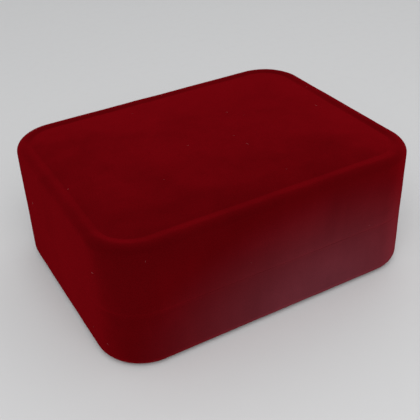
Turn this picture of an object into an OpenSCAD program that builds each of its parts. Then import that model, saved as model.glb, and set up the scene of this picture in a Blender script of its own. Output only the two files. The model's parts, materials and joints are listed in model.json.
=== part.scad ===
// Velvet ring box: a rounded rectangular case in two halves, joined at the back
// by a sprung metal hinge. The base holds a bed of padded ring rolls, the lid a
// padded satin panel. The origin is the centre of the underside, the front
// faces -Y, the hinge is at +Y and the lid lies closed. Sizes are millimetres.

/* [Case] */
// Length of the closed case, left to right
case_l = 90; // [80:1:120]
// Depth of the closed case, front to back
case_w = 70; // [60:1:90]
// Height of the closed case, up to the crest of the rolled rim
case_h = 35.5; // [32:0.5:50]
// Height of the base, up to the parting line
base_h = 16.4; // [15:0.1:18]
// Gap between the base and the closed lid
seam_gap = 0.3; // [0.2:0.05:0.5]
// Radius of the four upright corners
corner_r = 12.5; // [11:0.5:16]
// Radius along the bottom edge
foot_r = 2.9; // [2:0.1:3.5]
// Radius along the outside of the rolled rim
rim_r = 2; // [1.2:0.1:2.4]
// Distance of the groove inside the rim from the wall
groove_inset = 4.0; // [3.8:0.1:6]
// Depth of the groove below the crest of the rim
groove_depth = 0.5; // [0.2:0.1:1]
// Rise of the domed panel above the groove
dome_rise = 2.2; // [0.5:0.1:2.5]
// How flat the panel is from front to back, 2 being a plain arch
dome_power = 3.4; // [2:0.1:5]
// How much flatter than that it is from side to side
dome_side_power = 1.6; // [0:0.1:3]

/* [Walls] */
// Thickness of the velvet pile and its backing
velvet_t = 0.6; // [0.4:0.1:0.8]
// Thickness of the moulded plastic shells
shell_t = 1.4; // [1.2:0.1:1.8]
// Thickness of the pad glued under the base
foot_pad_t = 0.8; // [0.6:0.1:1]
// Height by which the velvet clears the table
cover_lift = 0.2; // [0.1:0.1:0.3]

/* [Collar] */
// Thickness of the collar that locates the lid
collar_t = 1; // [0.8:0.1:1.4]
// Height of the collar above the base
collar_rise = 2.6; // [1.5:0.1:3]
// Gap between the collar and the lid
collar_gap = 0.35; // [0.3:0.05:0.5]

/* [Ring bed] */
// Number of padded rolls, front to back
roll_count = 5; // [4:1:6]
// Top of the rolls, above the table
roll_top = 15.2; // [13:0.1:15.6]
// Gap between neighbouring rolls
roll_gap = 0.2; // [0.1:0.1:0.4]
// Thickness of the velvet round each roll
roll_cover_t = 0.7; // [0.5:0.1:1]
// Thickness of the board under the rolls
board_t = 1; // [0.8:0.1:1.5]

/* [Lid lining] */
// Lowest point of the padded satin panel, above the table
pad_bottom = 28.5; // [27:0.1:30]
// Thickness of the satin and its backing
satin_t = 0.4; // [0.3:0.1:0.6]
// Thickness of the card that stiffens the panel
card_t = 0.8; // [0.6:0.1:1]
// Radius along the panel's lower edge
pad_r = 2.6; // [2:0.1:3]
// Thickness of the strip that lines the lid's walls
strip_t = 0.8; // [0.6:0.1:0.9]

/* [Hinge] */
// Length of the hinge barrel
hinge_l = 34; // [30:1:40]
// Number of knuckles, the outer ones on the base
knuckles = 5; // [3:2:5]
// Outer radius of the barrel
barrel_r = 1.5; // [1.4:0.1:1.6]
// Radius of the hinge pin
pin_r = 0.7; // [0.6:0.05:0.8]
// Radial clearance of the pin in the lid's knuckles
pin_play = 0.06; // [0.02:0.01:0.1]
// Thickness of the sheet metal of the leaves
leaf_t = 0.5; // [0.4:0.05:0.6]
// Height of each leaf along its wall
leaf_h = 8.5; // [8:0.5:10]
// Thickness of the spring
spring_t = 0.3; // [0.2:0.05:0.35]

/* [Hidden] */

// Colours
velvet_red = [0.45, 0.01, 0.03];
plastic_black = [0.08, 0.08, 0.08];
satin_ivory = [0.93, 0.89, 0.8];
card_grey = [0.62, 0.6, 0.56];
foam_white = [0.9, 0.9, 0.86];
metal_brass = [0.78, 0.62, 0.32];
metal_steel = [0.7, 0.7, 0.72];

// Small amounts
clear = 0.01;
arc_steps = 8;
dome_steps = 10;
dome_span = 85;
panel_gap = 0.08;
round_fn = 64;
sink = 0.2;

// The straight runs between the corner centres
run_x = case_l - 2 * corner_r;
run_y = case_w - 2 * corner_r;

// Levels and insets of the case
wall_t = velvet_t + shell_t;
lid_z = base_h + seam_gap;
groove_z = case_h - groove_depth;
panel_r = corner_r - groove_inset - panel_gap;
ceiling_z = groove_z - wall_t;
floor_z = foot_pad_t + shell_t;
foot_z = cover_lift + foot_r;
turn_under = 1.2;
foot_pad_inset = foot_r + turn_under + 0.3;

// Levels and insets of the linings
collar_outer = wall_t + collar_gap;
collar_inner = collar_outer + collar_t;
board_z = floor_z + 0.1;
roll_z = board_z + board_t;
bed_inset = collar_inner + 0.25;
roll_pitch = (case_w - 2 * bed_inset) / roll_count;
roll_w = roll_pitch - roll_gap;
roll_h = roll_top - roll_z;
strip_z = base_h + collar_rise + 0.9;
strip_top = pad_bottom + pad_r;
pad_inset = wall_t + strip_t + 0.2;

// The hinge axis lies just behind the back wall, at the parting line
axis_y = case_w / 2 + 0.1;
axis_z = base_h + seam_gap / 2;
wall_face = -0.1 - wall_t;
leaf_face = wall_face - leaf_t;
spring_face = leaf_face - spring_t;
knuckle_pitch = hinge_l / knuckles;
knuckle_gap = 0.2;
finger_z = 0.6;
nose_r = barrel_r + 0.35;
nose_w = 3;
notch_l = hinge_l + 2;
notch_depth = nose_r + 0.25;
window_depth = 2.6;
pin_head_r = 1;
pin_head_t = 0.4;
rivet_r = 0.6;
rivet_head_r = 1.3;
rivet_head_t = 0.4;
rivet_depth = 0.9;
rivet_z = 5;
rivet_pitch = 12;
spring_low = 6.5;
spring_half = 13.5;
finger_w = 5;
tip_angle = 217;
finger_tip = (nose_r + 0.3) * [cos(tip_angle), sin(tip_angle)];
hinge_room = notch_l / 2 + 0.8;

// Points along an arc about [cx, cy], from angle a0 to angle a1
function arc(cx, cy, r, a0, a1) =
    [for (i = [0:arc_steps])
        let (a = a0 + (a1 - a0) * i / arc_steps)
        [cx + r * cos(a), cy + r * sin(a)]];

// A list of points taken backwards
function back(list) = [for (i = [len(list) - 1:-1:0]) list[i]];

// Section line of the lid at a depth below its outer face: flat from the corner
// centres to the groove, over the rolled rim and down the wall to level low
function lid_line(depth, low) =
    let (groove_x = corner_r - groove_inset, crest_x = corner_r - rim_r)
    concat(
        [[0, groove_z - depth]],
        [for (i = [0:arc_steps - 1])
            let (t = i / arc_steps)
            [groove_x + (crest_x - groove_x) * t, groove_z + groove_depth * (1 - cos(180 * t)) / 2 - depth]],
        arc(crest_x, case_h - rim_r, rim_r - depth, 90, 0),
        [[corner_r - depth, low]]);

// Outline of the panel inside the groove, drawn in to where the dome still has
// this share of its rise above it
function panel_outline(left) =
    [for (quarter = [0:3], i = [0:arc_steps])
        let (a = 90 * (quarter + i / arc_steps),
             side = [quarter % 3 == 0 ? 1 : -1, quarter < 2 ? 1 : -1],
             share = pow(left, 1 / (dome_power + dome_side_power * pow(cos(a), 2))))
        share * [side.x * run_x / 2 + panel_r * cos(a), side.y * run_y / 2 + panel_r * sin(a)]];

// Section line of the base at a depth below its outer face: down the wall from
// level high, round the bottom edge and in to distance x from the corner centres
function base_line(depth, high, x) =
    concat(
        [[corner_r - depth, high]],
        arc(corner_r - foot_r, foot_z, foot_r - depth, 0, -90),
        [[x, cover_lift + depth]]);

// Sweeps a section round the case. In the section, x is the distance outward
// from the corner centres and y the height.
module around() {
    for (quarter = [0:3]) {
        along = quarter % 2 == 0 ? run_y : run_x;
        out = quarter % 2 == 0 ? run_x : run_y;
        rotate([0, 0, 90 * quarter]) {
            translate([out / 2, along / 2, 0]) rotate_extrude(angle = 90, $fn = round_fn) children();
            translate([out / 2, along / 2, 0]) rotate([90, 0, 0]) linear_extrude(along) children();
        }
    }
}

// The flat middle between the corner centres, from level low to level high
module middle(low, high) {
    translate([-run_x / 2, -run_y / 2, low]) cube([run_x, run_y, high - low]);
}

// A rounded rectangular plate that stays inset from the case's outer face
module plate(inset, low, high) {
    around() translate([0, low]) square([corner_r - inset, high - low]);
    middle(low, high);
}

// The panel's dome at a depth below its outer face, sunk a little into what it
// stands on
module dome(depth) {
    hull() {
        translate([0, 0, groove_z - depth - sink]) linear_extrude(clear) polygon(panel_outline(1));
        for (i = [0:dome_steps]) {
            left = pow(cos(dome_span * i / dome_steps), dome_power);
            translate([0, 0, groove_z - depth + dome_rise * (1 - left) - clear])
                linear_extrude(clear) polygon(panel_outline(left));
        }
    }
}

// A rounded rectangular band between two insets
module band(outer, inner, low, high) {
    around() translate([corner_r - inner, low]) square([inner - outer, high - low]);
}

// Places what is drawn about the hinge axis
module at_hinge() {
    translate([0, axis_y, axis_z]) children();
}

// A block given by its lowest and highest corners
module block(low, high) {
    translate(low) cube(high - low);
}

// A bar of round section along X, centred at x
module rod(r, length, x = 0) {
    translate([x - length / 2, 0, 0]) rotate([0, 90, 0]) cylinder(r = r, h = length, $fn = round_fn);
}

// A bar of round section along Y at [x, z], from y = near to y = far
module stud(r, near, far, x, z) {
    translate([x, near, z]) rotate([-90, 0, 0]) cylinder(r = r, h = far - near, $fn = round_fn);
}

// Rivet positions along the hinge
module each_rivet(z) {
    for (i = [-1:1]) stud_at(i * rivet_pitch, z) children();
}

module stud_at(x, z) {
    translate([x, 0, z]) children();
}

// Room for the barrel in the back wall, to one side of the parting line
module barrel_notch(side) {
    at_hinge() block(
        [-notch_l / 2, wall_face - 1, side > 0 ? 0 : -notch_depth],
        [notch_l / 2, 2 * barrel_r, side > 0 ? notch_depth : seam_gap]);
}

// Blind holes for the rivets in a shell
module rivet_holes(side) {
    at_hinge() each_rivet(side * rivet_z) stud(rivet_r, wall_face - 1, wall_face + rivet_depth, 0, 0);
}

// ---- Base ----

module base_shell() {
    color(plastic_black) difference() {
        union() {
            around() polygon(concat(
                base_line(velvet_t, base_h - velvet_t, 0),
                [[0, floor_z], [corner_r - wall_t, floor_z], [corner_r - wall_t, base_h - velvet_t]]));
            middle(foot_pad_t, floor_z);
        }
        barrel_notch(-1);
        rivet_holes(-1);
    }
}

module base_velvet() {
    inner_x = corner_r - foot_r - turn_under;
    color(velvet_red) difference() {
        around() polygon(concat(
            [[corner_r - wall_t, base_h]],
            base_line(0, base_h, inner_x),
            back(base_line(velvet_t, base_h - velvet_t, inner_x)),
            [[corner_r - wall_t, base_h - velvet_t]]));
        barrel_notch(-1);
    }
}

module base_foot_pad() {
    color(velvet_red) plate(foot_pad_inset, 0, foot_pad_t);
}

// A stepped frame: its lower part lines the base, its upper part stands inside
// the lid. It stops short on both sides of the hinge.
module base_collar() {
    color(velvet_red) difference() {
        union() {
            band(wall_t, collar_inner, floor_z, base_h);
            band(collar_outer, collar_inner, base_h, base_h + collar_rise);
        }
        block([-hinge_room, case_w / 2 - collar_inner - 1, floor_z - 1],
              [hinge_room, case_w / 2, case_h]);
    }
}

// ---- Ring bed ----

module insert_board() {
    color(card_grey) plate(bed_inset, board_z, board_z + board_t);
}

// The outside of one roll, taken down by depth all round
module roll_form(number, depth) {
    y = (number - (roll_count + 1) / 2) * roll_pitch;
    r = roll_w / 2;
    intersection() {
        plate(bed_inset + depth, roll_z + depth, roll_top - depth);
        translate([-case_l / 2, y, 0]) union() {
            block([0, depth - r, roll_z], [case_l, r - depth, roll_top - r]);
            translate([0, 0, roll_top - r]) rotate([0, 90, 0])
                cylinder(r = r - depth, h = case_l, $fn = round_fn);
        }
    }
}

module ring_roll(number) {
    color(velvet_red) difference() {
        roll_form(number, 0);
        roll_form(number, roll_cover_t);
    }
}

module roll_core(number) {
    color(foam_white) roll_form(number, roll_cover_t);
}

// ---- Hinge ----

// One leaf: a flange on the inside of the wall, fingers through the notch and
// the knuckles rolled round the pin. Side is -1 for the base and 1 for the lid.
module hinge_leaf(side, first, bore) {
    half = hinge_l / 2 - knuckle_gap / 2;
    long = knuckle_pitch - knuckle_gap;
    far = side * leaf_h;
    near = side * finger_z;
    difference() {
        union() {
            block([-half, leaf_face, min(near, far)], [half, wall_face, max(near, far)]);
            for (i = [first:2:knuckles - 1]) {
                x = (i - (knuckles - 1) / 2) * knuckle_pitch;
                rod(barrel_r, long, x);
                block([x - long / 2, leaf_face, min(near, near + side * leaf_t)],
                      [x + long / 2, -barrel_r / 2 - leaf_t / 2, max(near, near + side * leaf_t)]);
            }
        }
        rod(bore, hinge_l);
        for (i = [1 - first:2:knuckles - 1]) {
            x = (i - (knuckles - 1) / 2) * knuckle_pitch;
            block([x - knuckle_pitch / 2 - knuckle_gap / 2, leaf_face - 1, min(0, side * window_depth)],
                  [x + knuckle_pitch / 2 + knuckle_gap / 2, wall_face + 1, max(0, side * window_depth)]);
        }
        each_rivet(side * rivet_z) stud(rivet_r, leaf_face - 1, wall_face + 1, 0, 0);
    }
}

module hinge_base_leaf() {
    color(metal_brass) at_hinge() hinge_leaf(-1, 0, pin_r);
}

// The lid's knuckles carry a nose that rides over the spring
module hinge_lid_leaf() {
    color(metal_brass) at_hinge() {
        hinge_leaf(1, 1, pin_r + pin_play);
        for (side = [-1, 1]) {
            x = side * knuckle_pitch;
            block([x - nose_w / 2, -leaf_t / 2, -nose_r], [x + nose_w / 2, leaf_t / 2, -barrel_r * 0.8]);
        }
    }
}

module hinge_pin() {
    color(metal_steel) at_hinge() {
        rod(pin_r, hinge_l);
        for (side = [-1, 1]) rod(pin_head_r, pin_head_t, side * (hinge_l + pin_head_t) / 2);
    }
}

// A flat spring on the base leaf, with two fingers bent up towards the noses
module hinge_spring() {
    color(metal_steel) at_hinge() difference() {
        union() {
            block([-spring_half, spring_face, -spring_low], [spring_half, leaf_face, -window_depth]);
            for (side = [-1, 1])
                translate([side * knuckle_pitch - finger_w / 2, 0, 0])
                    rotate([90, 0, 90]) linear_extrude(finger_w) polygon([
                        [spring_face, -window_depth - clear],
                        [leaf_face, -window_depth - clear],
                        finger_tip,
                        finger_tip + [-spring_t, spring_t / 2],
                        [spring_face, -window_depth + spring_t / 2]]);
        }
        each_rivet(-rivet_z) stud(rivet_r, spring_face - 1, leaf_face + 1, 0, 0);
    }
}

module rivets(face, side) {
    at_hinge() each_rivet(side * rivet_z) {
        stud(rivet_r, face, wall_face + rivet_depth, 0, 0);
        stud(rivet_head_r, face - rivet_head_t, face, 0, 0);
    }
}

module hinge_base_rivets() {
    color(metal_brass) rivets(spring_face, -1);
}

module hinge_lid_rivets() {
    color(metal_brass) rivets(leaf_face, 1);
}

// ---- Lid ----

module lid_shell() {
    color(plastic_black) difference() {
        union() {
            around() polygon(concat(
                lid_line(velvet_t, lid_z + velvet_t),
                [[corner_r - wall_t, lid_z + velvet_t], [corner_r - wall_t, ceiling_z], [0, ceiling_z]]));
            middle(ceiling_z, groove_z - velvet_t);
            dome(velvet_t);
        }
        dome(wall_t);
        barrel_notch(1);
        rivet_holes(1);
    }
}

module lid_velvet() {
    color(velvet_red) difference() {
        union() {
            around() polygon(concat(
                lid_line(0, lid_z),
                [[corner_r - wall_t, lid_z], [corner_r - wall_t, lid_z + velvet_t]],
                back(lid_line(velvet_t, lid_z + velvet_t))));
            middle(groove_z - velvet_t, groove_z);
            dome(0);
        }
        dome(velvet_t);
        barrel_notch(1);
    }
}

module lid_wall_strip() {
    color(satin_ivory) difference() {
        band(wall_t, wall_t + strip_t, strip_z, strip_top);
        block([-hinge_room, case_w / 2 - wall_t - strip_t - 1, strip_z - 1],
              [hinge_room, case_w / 2, axis_z + leaf_h + 0.3]);
    }
}

// The padded panel, taken down by depth all round, up to level high
module pad_form(depth, high) {
    wide = corner_r - pad_inset - depth;
    low = pad_bottom + depth;
    r = pad_r - depth;
    around() polygon(concat([[0, high], [0, low]], arc(wide - r, low + r, r, -90, 0), [[wide, high]]));
    middle(low, high);
}

module lid_pad_satin() {
    color(satin_ivory) difference() {
        pad_form(0, ceiling_z);
        pad_form(satin_t, ceiling_z + 1);
    }
}

module lid_pad_wadding() {
    color(foam_white) pad_form(satin_t, ceiling_z - card_t);
}

module lid_pad_card() {
    color(card_grey) plate(pad_inset + satin_t, ceiling_z - card_t, ceiling_z);
}

base_shell();
base_velvet();
base_foot_pad();
base_collar();
insert_board();
ring_roll(1);  // ring_roll_1
ring_roll(2);  // ring_roll_2
ring_roll(3);  // ring_roll_3
ring_roll(4);  // ring_roll_4
ring_roll(5);  // ring_roll_5
roll_core(1);  // roll_core_1
roll_core(2);  // roll_core_2
roll_core(3);  // roll_core_3
roll_core(4);  // roll_core_4
roll_core(5);  // roll_core_5
hinge_base_leaf();
hinge_lid_leaf();
hinge_pin();
hinge_spring();
hinge_base_rivets();
hinge_lid_rivets();
lid_shell();
lid_velvet();
lid_wall_strip();
lid_pad_card();
lid_pad_wadding();
lid_pad_satin();
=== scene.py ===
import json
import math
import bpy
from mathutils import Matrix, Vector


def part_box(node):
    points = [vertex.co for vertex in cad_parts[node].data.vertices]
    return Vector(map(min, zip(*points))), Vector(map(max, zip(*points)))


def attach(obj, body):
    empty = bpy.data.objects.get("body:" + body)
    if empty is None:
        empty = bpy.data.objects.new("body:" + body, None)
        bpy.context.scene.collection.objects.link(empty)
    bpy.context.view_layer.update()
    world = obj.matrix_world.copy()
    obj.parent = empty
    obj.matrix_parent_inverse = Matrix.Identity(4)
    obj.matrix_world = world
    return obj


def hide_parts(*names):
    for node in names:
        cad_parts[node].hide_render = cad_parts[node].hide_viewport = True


bl_info = {
    "name": "Velvet Ring Box",
    "version": (1, 0, 0),
    "blender": (4, 5, 0),
    "location": "3D View > Sidebar > Ring Box",
    "description": "Builds the velvet, satin and metal of a hinged ring box round its packed frame",
    "category": "Object",
}

import bmesh
import bpy
import numpy as np
from mathutils import Matrix, Vector, noise

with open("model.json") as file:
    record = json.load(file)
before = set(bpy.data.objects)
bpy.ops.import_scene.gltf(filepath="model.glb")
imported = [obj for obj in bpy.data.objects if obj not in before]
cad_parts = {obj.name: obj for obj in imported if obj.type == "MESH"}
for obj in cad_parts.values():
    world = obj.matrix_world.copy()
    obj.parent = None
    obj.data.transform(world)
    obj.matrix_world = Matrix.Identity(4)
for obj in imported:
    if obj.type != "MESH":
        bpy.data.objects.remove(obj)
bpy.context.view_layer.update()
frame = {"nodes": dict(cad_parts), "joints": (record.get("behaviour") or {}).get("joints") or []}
MM = 0.001

# Places of the case, read from the frame
BASE_LOW, BASE_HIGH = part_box("base_velvet")
LID_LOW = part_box("lid_velvet")[0]
COLLAR_LOW, COLLAR_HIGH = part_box("base_collar")
STRIP_LOW, STRIP_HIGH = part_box("lid_wall_strip")
PAD_LOW, PAD_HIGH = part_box("lid_pad_satin")
FOOT_LOW, FOOT_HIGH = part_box("base_foot_pad")
HINGE = Vector(frame["joints"][0]["pos_m"])
CASE_L = BASE_HIGH.x - BASE_LOW.x
CASE_W = BASE_HIGH.y - BASE_LOW.y
ROLLS = sorted(name for name in frame["nodes"] if name.startswith("ring_roll_"))

# How far along X the velvet and the lining are left open for the hinge
VELVET_NOTCH = 36 * MM
LINING_NOTCH = 37.6 * MM


# ---- properties ----


def length_property(name, description, default, low, high):
    """A length, given in millimetres and kept in metres."""
    return bpy.props.FloatProperty(
        name=name, description=description, default=default * MM, min=low * MM, max=high * MM, unit="LENGTH")


def number_property(name, description, default, low, high):
    return bpy.props.FloatProperty(name=name, description=description, default=default, min=low, max=high)


def angle_property(name, description, degrees):
    """An angle, given in degrees and kept in radians."""
    return bpy.props.FloatProperty(
        name=name, description=description, default=math.radians(degrees), subtype="ANGLE")


def colour_property(name, description, default):
    return bpy.props.FloatVectorProperty(
        name=name, description=description, default=default, size=3, min=0, max=1, subtype="COLOR")


class RingBoxCaseSettings(bpy.types.PropertyGroup):
    """Sizes of the velvet-covered case"""

    corner_radius: length_property("Corner Radius", "Radius of the four upright corners", 12.5, 11, 16)
    rim_radius: length_property(
        "Rim Radius", "Radius along the outside of the lid's rolled rim", 2.2, 1.2, 2.4)
    rim_height: length_property("Rim Height", "Height of the rim's crest above the table", 35.5, 30, 50)
    groove_inset: length_property(
        "Groove Inset", "Distance of the groove inside the rim from the wall", 4.2, 3.8, 6)
    groove_depth: length_property(
        "Groove Depth", "Depth of the groove below the crest of the rim", 0.33, 0.1, 1)
    front_press: length_property(
        "Front Press", "How much shallower handling has pressed the groove at the front", 0.2, 0, 0.5)
    dome_rise: length_property(
        "Dome Rise", "Rise of the lid's panel from the groove to its middle", 2.2, 0, 2.5)
    dome_power: number_property(
        "Dome Fullness", "How flat the panel is from front to back; 2 is a plain arch", 3.4, 2, 8)
    dome_side_power: number_property(
        "Side Fullness", "How much flatter than that the panel is from side to side", 1.6, 0, 4)
    foot_radius: length_property("Bottom Radius", "Radius along the bottom edge of the base", 2.9, 2, 3.5)
    pile: length_property("Pile Thickness", "Thickness of the velvet and its backing", 0.6, 0.4, 0.8)
    lip_radius: length_property(
        "Lip Radius", "Softness of the velvet where it turns in at the parting line", 0.07, 0.05, 0.6)
    lip_reach: length_property(
        "Lip Reach", "How far the pile stands out of each lip into the parting line", 0.14, 0, 0.145)
    unevenness: length_property(
        "Unevenness", "How far the velvet wanders from its true surface", 0.07, 0, 0.2)
    lint: number_property("Lint", "Number of lint fibres on each square metre of velvet", 1300, 0, 20000)
    # Painted highlight: how much lighter the pile is drawn in a band along the parting line, where its rolled
    # lips catch the light.
    parting_highlight_lift: number_property(
        "Parting Highlight", "How much lighter the worn nap along the parting line is, as a share", 0.13, 0, 2)
    # Painted reflection: the rub patch below adds a whitish haze of reflected light to the pile low on the
    # front of the case.
    painted_reflection_place: bpy.props.FloatVectorProperty(
        name="Painted Reflection Place", description="Middle of the patch of pile that hands and dust have greyed",
        default=(14 * MM, -36 * MM, 0), size=3, subtype="TRANSLATION", unit="LENGTH")
    painted_reflection_size: bpy.props.FloatVectorProperty(
        name="Painted Reflection Size", description="How far the greyed patch reaches along each axis",
        default=(60 * MM, 14 * MM, 36 * MM), size=3, subtype="XYZ", unit="LENGTH")
    painted_reflection_colour: colour_property(
        "Painted Reflection Colour", "What the greyed patch adds to the colour of the pile", (0.029, 0.028, 0.037))
    colour: colour_property("Velvet Colour", "Colour at the root of the pile", (0.124, 0.0012, 0.003))


class RingBoxBedSettings(bpy.types.PropertyGroup):
    """Sizes of the padded ring bed"""

    start_gap: length_property("Start Gap", "How much smaller a roll is before it is stuffed", 0.45, 0, 1)
    swell: length_property("Swell", "The furthest that stuffing moves any point of a roll", 0.5, 0, 1)
    pressure: number_property("Stuffing Pressure", "Pressure of the foam against the velvet", 5, 0, 20)
    colour: colour_property(
        "Bed Colour", "Colour of the velvet on the rolls and the collar", (0.11, 0.0015, 0.0025))


class RingBoxLiningSettings(bpy.types.PropertyGroup):
    """Sizes of the lid's satin lining"""

    pleats: bpy.props.IntProperty(
        name="Pleats", description="Number of pleats in the strip round the lid's walls",
        default=84, min=0, max=200)
    pleat_depth: length_property("Pleat Depth", "Height of each pleat", 0.28, 0, 0.5)
    gather: number_property(
        "Gather", "How much longer than the wall the strip is cut, as a share", 1.06, 1, 1.5)
    slack: number_property(
        "Slack", "How much wider than the pad the satin is cut, as a share", 0.05, 0, 0.1)
    pressure: number_property("Wadding Pressure", "Pressure of the wadding against the satin", 3.5, 0, 20)
    colour: colour_property("Satin Colour", "Colour of the satin", (0.78, 0.71, 0.58))


class RingBoxStageSettings(bpy.types.PropertyGroup):
    """The camera, the floor and the lights"""

    azimuth: angle_property("Azimuth", "Turn of the camera to the left of the front", -28.3)
    elevation: angle_property("Elevation", "Height of the camera above the horizon", 33.4)
    roll: angle_property("Roll", "Lean of the camera", -2.5)
    distance: bpy.props.FloatProperty(
        name="Distance", description="Distance from the camera to the middle of the case",
        default=209.4 * MM, unit="LENGTH")
    rise: bpy.props.FloatProperty(
        name="Rise", description="How far above the middle of the picture the case stands",
        default=3.78 * MM, unit="LENGTH")
    lens: number_property("Lens", "Focal length in millimetres, on a sensor 36 mm wide", 64.3, 20, 200)
    floor_colour: colour_property("Floor Colour", "Colour of the table top", (0.605, 0.607, 0.61))


SETTINGS = {
    "ring_box_case": RingBoxCaseSettings,
    "ring_box_bed": RingBoxBedSettings,
    "ring_box_lining": RingBoxLiningSettings,
    "ring_box_stage": RingBoxStageSettings,
}


# ---- node building ----


class Tree:
    """A node tree being built. Every value given to it is a socket to link or a constant to set."""

    def __init__(self, tree):
        self.tree = tree

    def feed(self, socket, value):
        if isinstance(value, bpy.types.NodeSocket):
            self.tree.links.new(value, socket)
        else:
            socket.default_value = value

    def add(self, kind, inputs=None, **settings):
        """Adds a node, sets its properties and then its inputs."""
        made = self.tree.nodes.new(kind)
        for key, value in settings.items():
            setattr(made, key, value)
        for key, value in (inputs or {}).items():
            self.feed(made.inputs[key], value)
        return made

    def first(self, kind, inputs=None, **settings):
        """The first output of a new node."""
        return self.add(kind, inputs, **settings).outputs[0]

    def maths(self, operation, *values):
        return self.first("ShaderNodeMath", dict(enumerate(values)), operation=operation)

    def vectors(self, operation, *values):
        return self.first("ShaderNodeVectorMath", dict(enumerate(values)), operation=operation)

    def product(self, first, *others):
        for other in others:
            first = self.maths("MULTIPLY", first, other)
        return first

    def total(self, first, *others):
        for other in others:
            first = self.maths("ADD", first, other)
        return first

    def less(self, first, second):
        return self.maths("SUBTRACT", first, second)

    def line(self, value, slope, start):
        """A straight line: the value times a slope, added to a start."""
        return self.maths("MULTIPLY_ADD", value, slope, start)

    def scale(self, vector, factor):
        """A vector made longer or a colour made lighter by a factor."""
        return self.first("ShaderNodeVectorMath", {0: vector, "Scale": factor}, operation="SCALE")

    def split(self, vector):
        return self.add("ShaderNodeSeparateXYZ", {0: vector}).outputs

    def join(self, x=0.0, y=0.0, z=0.0):
        return self.first("ShaderNodeCombineXYZ", {"X": x, "Y": y, "Z": z})

    def stretch(self, place, scales):
        return self.first("ShaderNodeMapping", {"Vector": place, "Scale": scales})

    def noise(self, place, scale, detail, **more):
        return self.first("ShaderNodeTexNoise", {"Vector": place, "Scale": scale, "Detail": detail, **more})

    def ease(self, value, start, end, low=0.0, high=1.0, curve="SMOOTHSTEP"):
        """Goes from low to high as the value goes from start to end."""
        return self.first("ShaderNodeMapRange", {
            "Value": value, "From Min": start, "From Max": end, "To Min": low, "To Max": high},
            interpolation_type=curve)

    def dress(self, geometry, material):
        """Turns instances into one mesh and gives it its material."""
        real = self.first("GeometryNodeRealizeInstances", {"Geometry": geometry})
        return self.first("GeometryNodeSetMaterial", {"Geometry": real, "Material": material})


def new_group(name, inputs, outputs, kind="ShaderNodeTree"):
    """A node group with its sockets: name, socket type and default of each input."""
    tree = bpy.data.node_groups.new(name, kind)
    for label, socket, default in inputs:
        made = tree.interface.new_socket(label, in_out="INPUT", socket_type=socket)
        if default is not None:
            made.default_value = default
    for label, socket in outputs:
        tree.interface.new_socket(label, in_out="OUTPUT", socket_type=socket)
    given, out = tree.nodes.new("NodeGroupInput"), tree.nodes.new("NodeGroupOutput")
    return Tree(tree), given.outputs, out.inputs


FLOAT, COLOUR, VECTOR = "NodeSocketFloat", "NodeSocketColor", "NodeSocketVector"
OBJECT, MATERIAL = "NodeSocketObject", "NodeSocketMaterial"
SURFACE = [("Colour", COLOUR), ("Roughness", FLOAT), ("Height", FLOAT)]


def geometry_group(name, inputs):
    return new_group(name, inputs, [("Geometry", "NodeSocketGeometry")], "GeometryNodeTree")


def pile_group():
    """Velvet pile: fine grain, soft patches where the nap lies differently, a painted reflection
    laid on as a whitish patch, a painted highlight along a line at one level, and bump."""
    tree, given, out = new_group(
        "Pile",
        [("Colour", COLOUR, (0.1, 0.0, 0.0, 1.0)), ("Grain", FLOAT, 3200.0),
         ("Patches", FLOAT, 55.0), ("Patch Contrast", FLOAT, 0.1), ("Painted Reflection Colour", COLOUR, (0, 0, 0, 1)),
         ("Painted Reflection Place", VECTOR, (0, 0, 0)), ("Painted Reflection Size", VECTOR, (1, 1, 1)),
         ("Highlight Level", FLOAT, -1.0), ("Highlight Width", FLOAT, 0.001), ("Highlight Lift", FLOAT, 0.1)],
        [*SURFACE, ("Lean", FLOAT)])
    stroke_share, grain_contrast = 0.35, 0.5
    even_nap = 0.5 + stroke_share / 2
    place = tree.add("ShaderNodeTexCoord").outputs["Object"]
    grain = tree.noise(place, given["Grain"], 3.0, Roughness=0.65)
    patches = tree.noise(place, given["Patches"], 3.0, Roughness=0.5, Distortion=0.6)
    strokes = tree.noise(tree.stretch(place, (260.0, 260.0, 60.0)), 1.0, 2.0)
    nap = tree.line(strokes, stroke_share, patches)
    lean = tree.less(nap, even_nap)
    tone = tree.line(lean, given["Patch Contrast"], 1.0)
    speckle = tree.line(tree.less(grain, 0.5), grain_contrast, tone)
    # Painted reflection: a whitish haze added to the pile's colour inside an ellipsoid round the rub place,
    # standing in for light reflected off the low front of the case.
    from_reflection = tree.vectors("DIVIDE", tree.vectors("SUBTRACT", place, given["Painted Reflection Place"]), given["Painted Reflection Size"])
    far = tree.add("ShaderNodeVectorMath", {0: from_reflection}, operation="LENGTH").outputs["Value"]
    painted_reflection = tree.scale(given["Painted Reflection Colour"], tree.product(tree.ease(far, 1.0, 0.0), tone))
    # Painted highlight: the pile is drawn lighter in a band round one level, the parting line, standing in
    # for light caught by its rolled lips.
    from_line = tree.maths("ABSOLUTE", tree.less(tree.split(place)["Z"], given["Highlight Level"]))
    painted_highlight = tree.product(tree.ease(from_line, given["Highlight Width"], 0.0), nap)
    painted_highlight = tree.line(painted_highlight, given["Highlight Lift"], 1.0)
    clean = tree.scale(given["Colour"], tree.product(speckle, painted_highlight))
    tree.feed(out["Colour"], tree.vectors("ADD", clean, painted_reflection))
    tree.feed(out["Lean"], lean)
    tree.feed(out["Roughness"], tree.line(patches, 0.12, 0.8))
    tree.feed(out["Height"], tree.line(patches, 0.15, grain))
    return tree


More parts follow.
